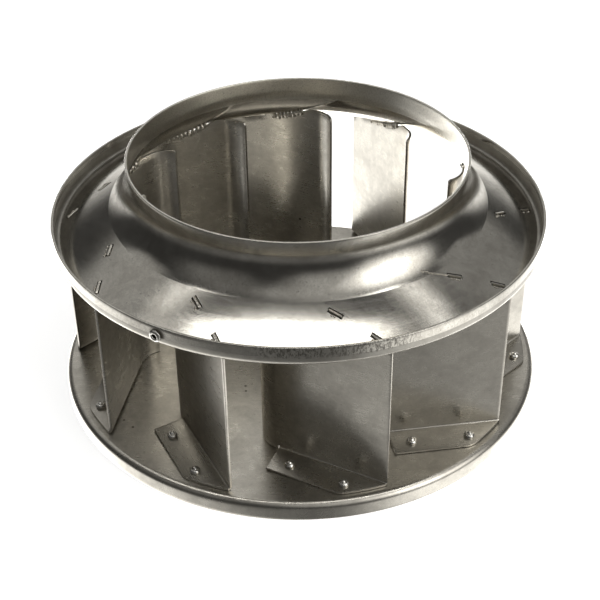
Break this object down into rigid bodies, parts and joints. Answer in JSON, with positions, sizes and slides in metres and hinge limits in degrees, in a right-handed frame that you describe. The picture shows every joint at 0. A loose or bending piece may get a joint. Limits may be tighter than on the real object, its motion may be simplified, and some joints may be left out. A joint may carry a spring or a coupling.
{
  "type": "backward-inclined centrifugal blower wheel",
  "caption": "Sheet-steel centrifugal blower wheel: spun inlet shroud, backward-inclined blades tabbed and riveted to a flanged backplate, with a bored hub.",
  "frame": {"origin": "on the shaft axis, in the plane of the backplate lip's lower edge", "axes": "+Z along the shaft axis, from the backplate towards the inlet throat"},
  "size_m": [0.31, 0.31, 0.1571],
  "materials": {
    "shroud_sheet": "bare spun steel, concentric marks",
    "backplate_sheet": "bare rolled steel, slightly mottled",
    "blade_sheet": "bare rolled steel, soft sheen",
    "rivet_steel": "bright zinc-plated steel",
    "hub_steel": "turned steel"
  },
  "bodies": {
    "root": {"backplate": "backplate_sheet", "front_shroud": "shroud_sheet", "blade_01": "blade_sheet", "blade_02": "blade_sheet", "blade_03": "blade_sheet", "blade_04": "blade_sheet", "blade_05": "blade_sheet", "blade_06": "blade_sheet", "blade_07": "blade_sheet", "blade_08": "blade_sheet", "blade_09": "blade_sheet", "blade_10": "blade_sheet", "blade_01_rivet_inner": "rivet_steel", "blade_01_rivet_outer": "rivet_steel", "blade_02_rivet_inner": "rivet_steel", "blade_02_rivet_outer": "rivet_steel", "blade_03_rivet_inner": "rivet_steel", "blade_03_rivet_outer": "rivet_steel", "blade_04_rivet_inner": "rivet_steel", "blade_04_rivet_outer": "rivet_steel", "blade_05_rivet_inner": "rivet_steel", "blade_05_rivet_outer": "rivet_steel", "blade_06_rivet_inner": "rivet_steel", "blade_06_rivet_outer": "rivet_steel", "blade_07_rivet_inner": "rivet_steel", "blade_07_rivet_outer": "rivet_steel", "blade_08_rivet_inner": "rivet_steel", "blade_08_rivet_outer": "rivet_steel", "blade_09_rivet_inner": "rivet_steel", "blade_09_rivet_outer": "rivet_steel", "blade_10_rivet_inner": "rivet_steel", "blade_10_rivet_outer": "rivet_steel", "hub": "hub_steel", "hub_rivet_1": "rivet_steel", "hub_rivet_2": "rivet_steel", "hub_rivet_3": "rivet_steel", "hub_rivet_4": "rivet_steel", "hub_set_screw": "rivet_steel", "balance_rivet": "rivet_steel"}
  },
  "joints": []
}
